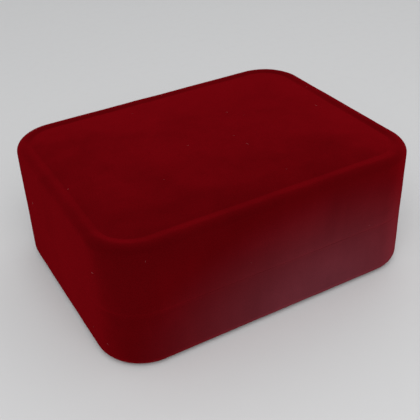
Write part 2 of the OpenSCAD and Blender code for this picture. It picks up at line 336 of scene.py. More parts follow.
def satin_group():
    """Satin: long floats of thread across fine ground threads, with faint slubs."""
    tree, given, out = new_group(
        "Satin Weave", [("Colour", COLOUR, (0.8, 0.7, 0.6, 1.0)), ("Threads", FLOAT, 4200.0)], SURFACE)
    place = tree.add("ShaderNodeTexCoord").outputs["Object"]

    def threads(share, distortion, bands):
        return tree.add("ShaderNodeTexWave", {
            "Vector": place, "Scale": tree.product(given["Threads"], share),
            "Distortion": distortion, "Detail": 1.0}, bands_direction=bands).outputs[1]

    slubs = tree.noise(tree.stretch(place, (90.0, 700.0, 500.0)), 1.0, 2.0)
    weave = tree.line(threads(0.37, 0.6, "DIAGONAL"), 0.4, threads(1.0, 0.4, "X"))
    tone = tree.line(tree.less(slubs, 0.5), 0.16, tree.line(weave, 0.04, 0.96))
    tree.feed(out["Colour"], tree.scale(given["Colour"], tone))
    tree.feed(out["Roughness"], tree.line(slubs, 0.16, 0.2))
    tree.feed(out["Height"], weave)
    return tree


def wear_group():
    """Handled metal or plastic: fine scratches, dull patches and a little tarnish."""
    tree, given, out = new_group(
        "Handled Surface",
        [("Colour", COLOUR, (0.5, 0.5, 0.5, 1.0)), ("Dull Colour", COLOUR, (0.2, 0.2, 0.2, 1.0)),
         ("Roughness", FLOAT, 0.3), ("Scratches", FLOAT, 900.0)], SURFACE)
    place = tree.add("ShaderNodeTexCoord").outputs["Object"]
    scratch = tree.noise(tree.stretch(place, (0.08, 1.0, 1.0)), given["Scratches"], 4.0, Roughness=0.7)
    dull = tree.ease(tree.noise(place, 260.0, 3.0), 0.5, 0.72, 0.0, 0.7, "LINEAR")
    mixed = tree.add("ShaderNodeMix", {"Factor": dull, 6: given["Colour"], 7: given["Dull Colour"]},
                     data_type="RGBA")
    rough = tree.line(scratch, 0.25, tree.line(dull, 0.25, given["Roughness"]))
    tree.feed(out["Colour"], mixed.outputs[2])
    tree.feed(out["Roughness"], tree.less(rough, 0.12))
    tree.feed(out["Height"], scratch)
    return tree


GROUPS = {}


def group(name):
    """A node group, made when it is first asked for."""
    makers = {"Pile": pile_group, "Satin Weave": satin_group, "Handled Surface": wear_group,
              "Sweep Round The Case": sweep_tree, "Rivet Row": rivet_tree, "Lint": lint_tree}
    if name not in GROUPS:
        GROUPS[name] = makers[name]().tree
    return GROUPS[name]


def finish_material(name, group_name, values, bump, nap=None, **surface):
    """A material made of one Principled shader fed by a shared group. Surface holds constants by
    socket name. Nap is how bright a pile looks seen straight into, how bright seen from the side,
    and how much it goes on brightening as it turns away; a pile that leans away is brighter too."""
    made = bpy.data.materials.new(name)
    made.use_nodes = True
    made.node_tree.nodes.clear()
    tree = Tree(made.node_tree)
    effect = tree.add("ShaderNodeGroup", values, node_tree=group(group_name)).outputs
    relief = tree.first("ShaderNodeBump", {"Height": effect["Height"], "Distance": bump, "Strength": 1.0})
    colour = effect["Colour"]
    if nap:
        straight, sideways, turning = nap
        lean_share, turn_from, turn_to = 0.22, 0.3, 0.67
        facing = tree.add("ShaderNodeLayerWeight", {"Blend": 0.5}).outputs["Facing"]
        facing = tree.line(effect["Lean"], lean_share, facing)
        glow = tree.line(facing, turning, tree.ease(facing, turn_from, turn_to, straight, sideways))
        colour = tree.scale(colour, glow)
    shader = tree.add("ShaderNodeBsdfPrincipled", {
        "Base Color": colour, "Roughness": effect["Roughness"], "Normal": relief})
    for key, value in surface.items():
        shader.inputs[key.replace("_", " ")].default_value = value
    tree.add("ShaderNodeOutputMaterial", {"Surface": shader.outputs[0]})
    return made


def velvet(name, colour, **marks):
    return finish_material(
        name, "Pile", {"Colour": (*colour, 1.0), **marks}, 0.12 * MM, nap=(0.48, 0.715, 0.62),
        Specular_IOR_Level=0.0, Sheen_Weight=0.05, Sheen_Roughness=0.35,
        Sheen_Tint=(1.0, 0.02, 0.03, 1.0))


def satin(name, colour):
    return finish_material(
        name, "Satin Weave", {"Colour": (*colour, 1.0)}, 0.02 * MM,
        Specular_IOR_Level=0.75, Sheen_Weight=0.2, Sheen_Roughness=0.3,
        Sheen_Tint=(1.0, 0.96, 0.88, 1.0))


def handled(name, colour, dull, roughness, scratches=900.0, bump=0.02 * MM, **surface):
    return finish_material(
        name, "Handled Surface",
        {"Colour": (*colour, 1.0), "Dull Colour": (*dull, 1.0), "Roughness": roughness,
         "Scratches": scratches}, bump, **surface)


def metal(name, colour, dull, roughness):
    return handled(name, colour, dull, roughness, bump=0.01 * MM, Metallic=1.0)


def plain(name, colour, dull, roughness, *marks):
    return handled(name, colour, dull, roughness, *marks, Specular_IOR_Level=0.4)


# ---- mesh helpers ----


def link_object(name, data):
    made = bpy.data.objects.new(name, data)
    bpy.context.scene.collection.objects.link(made)
    return made


def new_mesh_object(name, points, faces=()):
    mesh = bpy.data.meshes.new(name)
    mesh.from_pydata([tuple(p) for p in points], [], list(faces))
    return link_object(name, mesh)


def store(obj, name, values, kind="FLOAT"):
    """Writes one value for each point of a mesh."""
    attribute = obj.data.attributes.new(name, kind, "POINT")
    key = "vector" if kind == "FLOAT_VECTOR" else "value"
    attribute.data.foreach_set(key, np.asarray(values, np.float32).ravel())


def close_and_turn_out(obj):
    """Merges doubles and points every face outwards."""
    build = bmesh.new()
    build.from_mesh(obj.data)
    bmesh.ops.remove_doubles(build, verts=build.verts, dist=0.002 * MM)
    bmesh.ops.dissolve_degenerate(build, edges=build.edges, dist=0.001 * MM)
    bmesh.ops.recalc_face_normals(build, faces=build.faces)
    build.to_mesh(obj.data)
    build.free()
    obj.data.shade_smooth()


def apply_modifiers(obj, name):
    """Turns the evaluated object into a plain mesh object and removes the first one."""
    depsgraph = bpy.context.evaluated_depsgraph_get()
    mesh = bpy.data.meshes.new_from_object(obj.evaluated_get(depsgraph))
    mesh.name = name
    made = link_object(name, mesh)
    bpy.data.objects.remove(obj)
    made.name = name
    return made


def set_inputs(modifier, values):
    """Sets a geometry nodes modifier's inputs by their labels."""
    for item in modifier.node_group.interface.items_tree:
        if item.item_type == "SOCKET" and item.in_out == "INPUT" and item.name in values:
            modifier[item.identifier] = values[item.name]


def run_tree(name, tree, values):
    """Evaluates a geometry nodes tree on an empty mesh and keeps the result as a plain mesh."""
    host = new_mesh_object(name + "_host", [])
    modifier = host.modifiers.new("build", "NODES")
    modifier.node_group = tree
    set_inputs(modifier, values)
    return apply_modifiers(host, name)


def dress_node(name, material):
    """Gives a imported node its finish."""
    node = frame["nodes"][name]
    if not node.material_slots:
        node.data.materials.append(material)
    for place in node.material_slots:
        place.material = material


def place_piece(obj, body, slot_name, *nodes):
    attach(obj, body)
    if nodes:
        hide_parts(*nodes)
    return obj


# ---- swept pieces ----


def arc_points(centre, radius, start, end, steps):
    """Points along an arc in the section plane, with angles in degrees."""
    angles = np.radians(np.linspace(start, end, steps + 1))
    return [(centre[0] + radius * math.cos(a), centre[1] + radius * math.sin(a)) for a in angles]


def case_path(radius, notch=0.0, opening=0.0, step=3.0 * MM, arc_steps=18):
    """Stations round the case from the middle of the back: corner centre, outward direction, share of
    the notch cut and share of the way round. With an opening, the path stops short on both sides."""
    half_x = CASE_L / 2 - radius
    half_y = CASE_W / 2 - radius
    soft = 0.25 * MM
    run = max(2, round(half_x / step))
    first = [opening / 2 + (half_x - opening / 2) * i / run for i in range(run)]
    if notch:
        ramp = [notch / 2 + soft * k for k in (-2, -1, -0.4, 0.4, 1, 2)]
        first = sorted(set(first) | set(ramp))
    corners = [(half_x, half_y), (half_x, -half_y), (-half_x, -half_y), (-half_x, half_y)]
    stations = [(x, half_y, 90.0) for x in first]
    for number, (x, y) in enumerate(corners):
        angle = -90.0 * number
        stations += [(x, y, 90.0 + angle - 90.0 * k / arc_steps) for k in range(arc_steps + 1)]
        if number < 3:
            next_x, next_y = corners[number + 1]
            away_x, away_y = next_x - x, next_y - y
            count = max(2, round(math.hypot(away_x, away_y) / step))
            stations += [(x + away_x * k / count, y + away_y * k / count, angle) for k in range(1, count)]
    stations += [(-x, half_y, -270.0) for x in reversed(first)]
    centres, outward, cut = [], [], []
    for x, y, angle in stations:
        centres.append((x, y, 0.0))
        outward.append((math.cos(math.radians(angle)), math.sin(math.radians(angle)), 0.0))
        back = abs(angle - 90.0) < 0.01 or abs(angle + 270.0) < 0.01
        amount = (notch / 2 - abs(x)) / (2 * soft) + 0.5 if notch and back else 0.0
        amount = min(1.0, max(0.0, amount))
        cut.append(amount * amount * (3 - 2 * amount))
    made = new_mesh_object("path", centres)
    store(made, "outward", outward, "FLOAT_VECTOR")
    store(made, "cut", cut)
    rim = np.array(centres) + np.array(outward) * radius
    steps = np.linalg.norm(np.diff(rim, axis=0), axis=1)
    store(made, "along", np.concatenate([[0.0], np.cumsum(steps)]) / steps.sum())
    return made


# What each point of a section is marked with, and the usual value
SECTION_MARKS = {"reach": 1.0, "edge": 0.0, "give": 0.0, "tuck": 0.0, "crease": 0.0}


def section_line(points, **marks):
    """A section: x outward from the corner centres and z. Reach shrinks the whole ring towards the
    middle of the case, edge moves with the notch, give moves with the pleats, tuck is how far a point
    draws back outwards at the notch, and crease is how much it rises where the front is pressed."""
    made = new_mesh_object("section", [(p[0], 0.0, p[1]) for p in points])
    for name, usual in SECTION_MARKS.items():
        store(made, name, marks.get(name, [usual] * len(points)))
    return made


def sweep_tree():
    """Geometry nodes that carry a section round a path, cut the notch, add pleats and unevenness."""
    tree, given, out = geometry_group(
        "Sweep Round The Case",
        [("Path", OBJECT, None), ("Section", OBJECT, None), ("Notch Depth", FLOAT, 0.0),
         ("Dome Rise", FLOAT, 0.0), ("Dome Fullness", FLOAT, 3.0), ("Side Fullness", FLOAT, 0.0),
         ("Pleats", FLOAT, 0.0), ("Pleat Depth", FLOAT, 0.0), ("Front Press", FLOAT, 0.0),
         ("Unevenness", FLOAT, 0.0), ("Patch Size", FLOAT, 0.012), ("Material", MATERIAL, None)])
    path, section = (tree.add("GeometryNodeObjectInfo", {"Object": given[name]}).outputs["Geometry"]
                     for name in ("Path", "Section"))
    stations, points = (
        tree.add("GeometryNodeAttributeDomainSize", {"Geometry": line}).outputs["Point Count"]
        for line in (path, section))
    grid = tree.add("GeometryNodeMeshGrid", {"Vertices X": stations, "Vertices Y": points})
    index = tree.first("GeometryNodeInputIndex")
    row = tree.maths("FLOOR", tree.maths("DIVIDE", tree.total(index, 0.5), points))
    column = tree.less(index, tree.product(row, points))

    def sample(geometry, name, kind="FLOAT"):
        if name == "position":
            value = tree.first("GeometryNodeInputPosition")
        else:
            value = tree.first("GeometryNodeInputNamedAttribute", {"Name": name}, data_type=kind)
        at = row if geometry == path else column
        return tree.first("GeometryNodeSampleIndex", {"Geometry": geometry, "Value": value, "Index": at},
                          data_type=kind)

    centre = sample(path, "position", "FLOAT_VECTOR")
    outward = sample(path, "outward", "FLOAT_VECTOR")
    cut = sample(path, "cut")
    point = tree.split(sample(section, "position", "FLOAT_VECTOR"))
    reach = sample(section, "reach")
    turns = tree.product(given["Pleats"], 2 * math.pi)
    swing = tree.maths("COSINE", tree.product(sample(path, "along"), turns))
    pleat = tree.product(swing, given["Pleat Depth"], sample(section, "give"))
    notch = tree.product(cut, given["Notch Depth"], sample(section, "edge"))
    tuck = tree.product(cut, sample(section, "tuck"))
    heading = tree.split(outward)
    forwards = tree.maths("MINIMUM", heading["Y"], 0.0)
    press = tree.product(tree.product(forwards, forwards),
                         tree.product(given["Front Press"], sample(section, "crease")))
    fullness = tree.line(tree.product(heading["X"], heading["X"]), given["Side Fullness"],
                         given["Dome Fullness"])
    dome = tree.product(tree.less(1.0, tree.maths("POWER", reach, fullness)), given["Dome Rise"])
    height = tree.join(z=tree.total(point["Z"], tree.total(notch, dome, press)))
    side = tree.scale(outward, tree.total(point["X"], tree.total(pleat, tuck)))
    where = tree.vectors("ADD", tree.vectors("ADD", tree.scale(centre, reach), side), height)
    placed = tree.first("GeometryNodeSetPosition", {"Geometry": grid.outputs["Mesh"], "Position": where})
    merged = tree.first("GeometryNodeMergeByDistance", {"Geometry": placed, "Distance": 0.002 * MM})
    wander = tree.noise(tree.first("GeometryNodeInputPosition"),
                        tree.maths("DIVIDE", 1.0, given["Patch Size"]), 2.0)
    shift = tree.product(tree.less(wander, 0.5), tree.product(given["Unevenness"], 4.0))
    away = tree.scale(tree.first("GeometryNodeInputNormal"), shift)
    uneven = tree.first("GeometryNodeSetPosition", {"Geometry": merged, "Offset": away})
    smooth = tree.first("GeometryNodeSetShadeSmooth", {"Geometry": uneven})
    tree.feed(out["Geometry"], tree.dress(smooth, given["Material"]))
    return tree


def sweep(name, path, section, material, **values):
    """One piece swept round the case."""
    made = run_tree(name, group("Sweep Round The Case"), {
        "Path": path, "Section": section, "Material": material,
        **{key.replace("_", " "): value for key, value in values.items()}})
    for helper in (path, section):
        bpy.data.objects.remove(helper)
    close_and_turn_out(made)
    return made


def radius_inside(case, low, high):
    """Corner radius of a piece inside the case, from the ends of its length."""
    return case.corner_radius - (CASE_L - (high.x - low.x)) / 2


def lid_section(case, depth, steps=28, groove_steps=10, rim_steps=12):
    """The lid's section at a depth below the velvet's face: from the middle of the panel over the
    rolled rim to the wall, with each point's reach and crease."""
    groove_x = case.corner_radius - case.groove_inset
    crest_x = case.corner_radius - case.rim_radius
    groove_z = case.rim_height - case.groove_depth
    points, reach, crease = [], [], []
    for k in range(steps + 1):
        share = math.sin(math.pi / 2 * k / steps)
        points.append((groove_x * share, groove_z - depth))
        reach.append(share)
        crease.append(share ** 6)
    for k in range(1, groove_steps + 1):
        climb = (1 - math.cos(math.pi * k / groove_steps)) / 2
        x = groove_x + (crest_x - groove_x) * k / groove_steps
        points.append((x, groove_z + case.groove_depth * climb - depth))
        reach.append(1.0)
        crease.append(1 - climb)
    rim_centre = (crest_x, case.rim_height - case.rim_radius)
    points += arc_points(rim_centre, case.rim_radius - depth, 90, 0, rim_steps)[1:]
    return points, reach + [1.0] * rim_steps, crease + [0.0] * rim_steps


def wall_points(x, high, low, steps=6):
    """Points down or up a wall, both ends left out."""
    return [(x, high + (low - high) * k / steps) for k in range(1, steps)]


def lid_velvet_piece(case, material):
    """The lid's velvet, turned in at its lip and up the inside of the wall."""
    radius, lip = case.corner_radius, case.lip_radius
    low = LID_LOW.z - case.lip_reach
    level = low + lip
    inner_x = radius_inside(case, COLLAR_LOW, COLLAR_HIGH)
    turn_x, turn_z = inner_x - 0.18 * MM, STRIP_LOW.z - 0.1 * MM
    draw_back, above_hinge = 0.5 * MM, 2.0 * MM
    outside, reach, crease = lid_section(case, 0.0)
    inside, inside_reach, inside_crease = lid_section(case, case.pile, 14)
    face = outside + wall_points(radius, outside[-1][1], level)
    lip_out = arc_points((radius - lip, level), lip, 0, -90, 5)
    lip_in = arc_points((turn_x + lip, level), lip, -90, -180, 5)
    lip_in += wall_points(turn_x, level, turn_z, 5) + [(turn_x, turn_z), (inner_x, turn_z)]
    turned = [(inner_x, low + case.pile), (radius - case.pile, low + case.pile)]
    points = face + lip_out + lip_in + turned + inside[::-1]
    edge = [0.0] * len(face) + [1.0] * len(lip_out + lip_in + turned) + [0.0] * len(inside)
    tuck = [0.0] * len(face + lip_out) + [draw_back] * (len(lip_in) + 1) + [0.0] * (len(inside) + 1)
    between = len(points) - len(outside) - len(inside)
    reach += [1.0] * between + inside_reach[::-1]
    crease += [0.0] * between + inside_crease[::-1]
    return sweep(
        "lid_velvet_cover", case_path(radius, notch=VELVET_NOTCH),
        section_line(points, reach=reach, edge=edge, tuck=tuck, crease=crease), material,
        Notch_Depth=HINGE.z + above_hinge - low, Unevenness=case.unevenness, Dome_Rise=case.dome_rise,
        Dome_Fullness=case.dome_power, Side_Fullness=case.dome_side_power, Front_Press=case.front_press)


def base_velvet_piece(case, material):
    """The base's velvet, turned in at its lip and under the foot."""
    radius, lip, foot = case.corner_radius, case.lip_radius, case.foot_radius
    low, high = BASE_LOW.z, BASE_HIGH.z + case.lip_reach
    inner_x = radius_inside(case, COLLAR_LOW, COLLAR_HIGH)
    under_x = radius - foot - 1.2 * MM
    below_hinge = 2.1 * MM
    lips = arc_points((inner_x + lip, high - lip), lip, 180, 90, 5)
    lips += arc_points((radius - lip, high - lip), lip, 90, 0, 5)
    wall = wall_points(radius, high - lip, low + foot)
    wall += arc_points((radius - foot, low + foot), foot, 0, -90, 12)
    wall += [(under_x, low), (under_x, low + case.pile)]
    wall += arc_points((radius - foot, low + foot), foot - case.pile, -90, 0, 8)
    turned = [(radius - case.pile, high - case.pile), (inner_x, high - case.pile), lips[0]]
    edge = [1.0] * len(lips) + [0.0] * len(wall) + [1.0] * len(turned)
    return sweep(
        "base_velvet_cover", case_path(radius, notch=VELVET_NOTCH),
        section_line(lips + wall + turned, edge=edge), material,
        Notch_Depth=HINGE.z - below_hinge - high, Unevenness=case.unevenness)


def collar_piece(case, material):
    """The stepped collar, with a soft top edge and open at the hinge."""
    lower_x = radius_inside(case, COLLAR_LOW, COLLAR_HIGH)
    step, thickness, soft = 0.35 * MM, 1.0 * MM, 0.45 * MM
    upper_x = lower_x - step
    inner_x = upper_x - thickness
    step_z = BASE_HIGH.z
    low, high = COLLAR_LOW.z, COLLAR_HIGH.z
    points = [(lower_x, low)] + wall_points(lower_x, low, step_z) + [(lower_x, step_z), (upper_x, step_z)]
    points += arc_points((upper_x - soft, high - soft), soft, 0, 90, 6)
    points += arc_points((inner_x + soft, high - soft), soft, 90, 180, 6)
    points += wall_points(inner_x, high - soft, low) + [(inner_x, low), (lower_x, low)]
    made = sweep("collar_flock", case_path(case.corner_radius, opening=LINING_NOTCH),
                 section_line(points), material, Unevenness=0.012 * MM)
    cap_ends(made)
    return made


def cap_ends(obj):
    """Fills the open ends of a swept strip."""
    build = bmesh.new()
    build.from_mesh(obj.data)
    rim = [e for e in build.edges if e.is_boundary]
    bmesh.ops.holes_fill(build, edges=rim, sides=0)
    bmesh.ops.recalc_face_normals(build, faces=build.faces)
    build.to_mesh(obj.data)
    build.free()


def foot_piece(case, material):
    """The felt pad under the base, with a softened edge."""
    edge_x = radius_inside(case, FOOT_LOW, FOOT_HIGH)
    low, high = FOOT_LOW.z, FOOT_HIGH.z
    soft = 0.3 * MM
    shares = [k / 4 for k in range(5)]
    under = [((edge_x - soft) * share, low) for share in shares]
    edge = arc_points((edge_x - soft, low + soft), soft, -90, 0, 5)[1:]
    edge += arc_points((edge_x - soft, high - soft), soft, 0, 90, 5)
    over = [(x, high) for x, _ in under[-2::-1]]
    reach = shares + [1.0] * len(edge) + shares[-2::-1]
    return sweep("foot_felt", case_path(case.corner_radius),
                 section_line(under + edge + over, reach=reach), material)


# ---- stuffed pieces ----


def coordinates(obj):
    values = np.empty(len(obj.data.vertices) * 3, np.float32)
    obj.data.vertices.foreach_get("co", values)
    return values.reshape(-1, 3).astype(float)


def set_coordinates(obj, points):
    obj.data.vertices.foreach_set("co", np.asarray(points, np.float32).ravel())
    obj.data.update()


def stuff(obj, pressure, furthest, held, slack=0.0, frames=20):
    """Swells a closed cover under the pressure of its filling, worked out at ten times life size.
    Held points stay, and no point ends further than furthest from where it began."""
    larger = 10.0
    start = coordinates(obj)
    set_coordinates(obj, start * larger)
    obj.vertex_groups.new(name="held").add([int(i) for i in np.flatnonzero(held)], 1.0, "REPLACE")
    cloth = obj.modifiers.new("cover", "CLOTH")
    values = {
        "quality": 5, "mass": 0.3, "tension_stiffness": 15, "compression_stiffness": 15,
        "shear_stiffness": 5, "bending_stiffness": 0.3, "use_pressure": True,
        "uniform_pressure_force": pressure, "shrink_min": -slack, "vertex_group_mass": "held"}
    for key, value in values.items():
        setattr(cloth.settings, key, value)
    cloth.settings.effector_weights.gravity = 0
    cloth.collision_settings.use_collision = False
    cloth.point_cache.frame_start = 1
    cloth.point_cache.frame_end = frames
    scene = bpy.context.scene
    for number in range(1, frames + 1):
        scene.frame_set(number)
    swollen = obj.evaluated_get(bpy.context.evaluated_depsgraph_get())
    moved = coordinates(swollen) / larger - start
    obj.modifiers.remove(cloth)
    obj.vertex_groups.clear()
    scene.frame_set(1)
    length = np.linalg.norm(moved, axis=1, keepdims=True)
    moved *= furthest * np.tanh(length / furthest) / np.maximum(length, 1e-9)
    set_coordinates(obj, start + moved)


def keep_within(obj, low, high):
    """Presses a piece flat where it would pass the planes of a box."""
    set_coordinates(obj, np.clip(coordinates(obj), np.array(low), np.array(high)))


def subdivide(obj, name):
    smooth = obj.modifiers.new("smooth", "SUBSURF")
    smooth.levels = smooth.render_levels = 1
    made = apply_modifiers(obj, name)
    close_and_turn_out(made)
    return made


def bed_reach(x, radius, half_x, half_y):
    """How far the bed reaches from its middle line at a distance along it."""
    past = abs(x) - (half_x - radius)
    if past <= 0:
        return half_y
    return half_y - radius + math.sqrt(max(radius * radius - past * past, 0.0))


def roll_section(near, far, low, high, count=14, crown_share=0.8):
    """A closed loop round one roll: flat below, upright sides and a half-round top."""
    middle, half = (near + far) / 2, (far - near) / 2
    crown = min(half, crown_share * (high - low))
    side = high - crown - low
    points = [(near + 2 * half * k / 4, low) for k in range(5)]
    points += [(far, low + side * k / 4) for k in range(1, 4)]
    for k in range(count + 1):
        angle = math.pi * k / count
        points.append((middle + half * math.cos(angle), high - crown + crown * math.sin(angle)))
    points += [(near, high - crown - side * k / 4) for k in range(1, 4)]
    return points


def ring_faces(first, second):
    """Quads between two loops of points, or triangles when the second is a single point."""
    for k in range(len(first)):
        n = (k + 1) % len(first)
        if len(second) == 1:
            yield (first[k], first[n], second[0])
        else:
            yield (first[k], first[n], second[n], second[k])


def roll_piece(name, piece, bed, case, material):
    """One velvet roll of the ring bed, lofted between the walls and then stuffed."""
    low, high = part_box(name)
    gap = bed.start_gap
    radius = radius_inside(case, low, high)
    half_x, half_y = (high.x - low.x) / 2, CASE_W / 2 - (CASE_L / 2 - high.x)
    end_length, end_share, end_round = 4.2 * MM, 0.70, 2.2 * MM
    ends = [e * MM for e in (0.0, 0.25, 0.6, 1.1, 1.8, 2.8)]
    inner = np.linspace(end_length - half_x, half_x - end_length, 42)
    stations = [-half_x + e for e in ends] + list(inner) + [half_x - e for e in reversed(ends)]
    points, rows = [], []
    for x in stations:
        from_end = min(1.0, (half_x - abs(x)) / end_round)
        round_off = end_share + (1 - end_share) * math.sin(math.pi / 2 * from_end)
        side = bed_reach(x, radius, half_x, half_y)
        near, far = max(low.y, -side) + gap, min(high.y, side) - gap
        middle, half = (near + far) / 2, (far - near) / 2 * round_off
        top = low.z + (high.z - gap - low.z) * round_off
        loop = roll_section(middle - half, middle + half, low.z, top)
        rows.append(range(len(points), len(points) + len(loop)))
        points += [(x * (1 - gap / half_x), y, z) for y, z in loop]
    faces = [face for pair in zip(rows, rows[1:]) for face in ring_faces(*pair)]
    for row in (rows[0], rows[-1]):
        ring = np.array([points[i] for i in row])
        centre = ring.mean(0)
        inside = range(len(points), len(points) + len(row))
        points += [tuple(p) for p in centre + (ring - centre) * 0.5] + [tuple(centre)]
        faces += [*ring_faces(row, inside), *ring_faces(inside, [len(points) - 1])]
    made = new_mesh_object(piece, points, faces=faces)
    close_and_turn_out(made)
    start = coordinates(made)
    ripple = [0.05 * MM * noise.noise(Vector(p) * 420.0) for p in start]
    start[:, 2] += np.where(start[:, 2] > low.z + 2 * MM, ripple, 0.0)
    set_coordinates(made, start)
    stuff(made, bed.pressure, bed.swell, start[:, 2] < low.z + 0.5 * MM)
    room = 0.03 * MM
    keep_within(made, (low.x + room, low.y + room, low.z), (high.x - room, high.y - room, high.z))
    made.data.materials.append(material)
    return subdivide(made, piece)


def pad_piece(lining, case, material):
    """The satin panel in the lid: cut a little wide, so that the wadding leaves soft folds in it."""
    beyond, hem, room = 0.3 * MM, 0.35 * MM, 0.1 * MM
    soft, crown, swell = 2.2 * MM, 0.5 * MM, 0.75 * MM
    edge_x = radius_inside(case, PAD_LOW, PAD_HIGH) + beyond
    low, high = PAD_LOW.z + hem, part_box("lid_pad_card")[0].z - 0.02 * MM
    shares = [k / 12 for k in range(13)]
    under = [((edge_x - soft) * share, low + crown * share ** 4) for share in shares]
    edge = arc_points((edge_x - soft, low + crown + soft), soft, -90, 0, 8)[1:]
    edge += [(edge_x, low + crown + soft + 0.4 * MM), (edge_x - 0.05 * MM, high - 0.3 * MM)]
    over = [((edge_x - 0.5 * MM) * share, high) for share in reversed(shares)]
    reach = shares + [1.0] * len(edge) + shares[::-1]
    made = sweep("lid_pad_start", case_path(case.corner_radius),
                 section_line(under + edge + over, reach=reach), material)
    remesh = made.modifiers.new("even", "REMESH")
    remesh.mode = "VOXEL"
    remesh.voxel_size = 0.75 * MM
    made = apply_modifiers(made, "lid_pad_even")
    start = coordinates(made)
    stuff(made, lining.pressure, swell, start[:, 2] > high - 0.6 * MM, slack=lining.slack)
    keep_within(made, (PAD_LOW.x - beyond, PAD_LOW.y - beyond, PAD_LOW.z - room),
                (PAD_HIGH.x + beyond, PAD_HIGH.y + beyond, high))
    made.data.materials.clear()
    made.data.materials.append(material)
    return subdivide(made, "lid_pad_cover")


def strip_piece(lining, case, material):
    """The pleated satin round the lid's walls, cut away behind the hinge, and the size it was cut to."""
    radius = case.corner_radius
    thickness, soft, notch_depth = 0.8 * MM, 0.2 * MM, 5.45 * MM
    fine_step, half_give = 0.44 * MM, 0.4
    outer_x = radius_inside(case, STRIP_LOW, STRIP_HIGH)
    inner_x = outer_x - thickness + lining.pleat_depth + 0.04 * MM
    low, high = STRIP_LOW.z, PAD_HIGH.z - 0.1 * MM
    back = [(outer_x, z) for z in np.linspace(low + soft, high - soft, 8)]
    top = [(outer_x - soft, high), (inner_x + soft, high)]
    front = [(inner_x, z) for z in np.linspace(high - soft, low + soft, 12)]
    bottom = [(inner_x + soft, low), (outer_x - soft, low), back[0]]
    points = back + top + front + bottom
    give = [0.0] * (len(back) + 1) + [half_give] + [1.0] * len(front) + [half_give, 0.0, 0.0]
    edge = [1.0 - (z - low) / (high - low) for _, z in points]
    made = sweep(
        "lid_wall_satin", case_path(radius, notch=LINING_NOTCH, step=fine_step, arc_steps=44),
        section_line(points, edge=edge, give=give), material,
        Notch_Depth=notch_depth, Pleats=float(lining.pleats), Pleat_Depth=lining.pleat_depth)
    run = 2 * (CASE_L + CASE_W - 4 * radius) + 2 * math.pi * outer_x
    return made, (run * lining.gather, high - low)


# ---- small pieces ----


def rivet_tree():
    """Geometry nodes that set a row of domed rivet heads along X."""
    tree, given, out = geometry_group(
        "Rivet Row",
        [("Count", "NodeSocketInt", 3), ("Pitch", FLOAT, 0.012), ("First", VECTOR, (0, 0, 0)),
         ("Radius", FLOAT, 0.0013), ("Height", FLOAT, 0.0004), ("Material", MATERIAL, None)])
    flat_back = 0.04 * MM
    row = tree.first("GeometryNodeMeshLine", {
        "Count": given["Count"], "Start Location": given["First"], "Offset": tree.join(given["Pitch"])})
    ball = tree.add("GeometryNodeMeshUVSphere", {"Segments": 28, "Rings": 14, "Radius": 1.0}).outputs["Mesh"]
    place = tree.split(tree.first("GeometryNodeInputPosition"))
    wide, tall = (tree.product(place[axis], given["Radius"]) for axis in "XZ")
    deep = tree.maths("MINIMUM", tree.product(place["Y"], given["Height"]), flat_back)
    head = tree.first("GeometryNodeSetPosition", {"Geometry": ball, "Position": tree.join(wide, deep, tall)})
    smooth = tree.first("GeometryNodeSetShadeSmooth", {"Geometry": head})
    each = tree.first("GeometryNodeInstanceOnPoints", {"Points": row, "Instance": smooth})
    tree.feed(out["Geometry"], tree.dress(each, given["Material"]))
    return tree


def rivets_piece(name, node, material):
    low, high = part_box(node)
    radius = (high.z - low.z) / 2
    rise = 0.4 * MM
    return run_tree(name, group("Rivet Row"), {
        "Count": 3, "Pitch": (high.x - low.x) / 2 - radius, "Radius": radius, "Height": rise,
        "First": Vector((low.x + radius, low.y + rise, (low.z + high.z) / 2)), "Material": material})


def lint_tree():
    """Geometry nodes that scatter a few short curled fibres over a velvet cover."""
    tree, given, out = geometry_group(
        "Lint",
        [("Cover", OBJECT, None), ("Density", FLOAT, 3000.0), ("Length", FLOAT, 0.0007),
         ("Thickness", FLOAT, 0.000022), ("Seed", "NodeSocketInt", 7), ("Material", MATERIAL, None)])
    cover = tree.add("GeometryNodeObjectInfo", {"Object": given["Cover"]}).outputs["Geometry"]
    spots = tree.add("GeometryNodeDistributePointsOnFaces", {
        "Mesh": cover, "Density": given["Density"], "Seed": given["Seed"]}).outputs
    fibre = tree.first("GeometryNodeCurveQuadraticBezier", {
        "Resolution": 5, "Start": (-0.5, 0.0, 0.02), "Middle": (0.05, 0.35, 0.12), "End": (0.5, -0.05, 0.02)})
    ring = tree.first("GeometryNodeCurvePrimitiveCircle", {"Resolution": 4, "Radius": 1.0})
    share = tree.maths("DIVIDE", given["Thickness"], given["Length"])
    thin = tree.first("GeometryNodeTransform", {"Geometry": ring, "Scale": tree.join(share, share, share)})
    tube = tree.first("GeometryNodeCurveToMesh", {
        "Curve": fibre, "Profile Curve": thin, "Fill Caps": True})

    def chance(low, high, seed):
        return tree.add("FunctionNodeRandomValue", {"Min": low, "Max": high, "Seed": seed},
                        data_type="FLOAT").outputs["Value"]

    turn = tree.first("FunctionNodeEulerToRotation", {0: tree.join(z=chance(0.0, 6.283, 3))})
    spin = tree.first("FunctionNodeRotateRotation", {"Rotation": spots["Rotation"], "Rotate By": turn},
                      rotation_space="LOCAL")
    scale = tree.product(chance(0.4, 1.0, 5), given["Length"])
    each = tree.first("GeometryNodeInstanceOnPoints", {
        "Points": spots["Points"], "Instance": tube, "Rotation": spin,
        "Scale": tree.join(scale, scale, scale)})
    tree.feed(out["Geometry"], tree.dress(each, given["Material"]))
    return tree


def lint_piece(name, cover, seed, case, material):
    return run_tree(name, group("Lint"), {
        "Cover": cover, "Density": case.lint, "Seed": seed, "Material": material})


# ---- operators ----


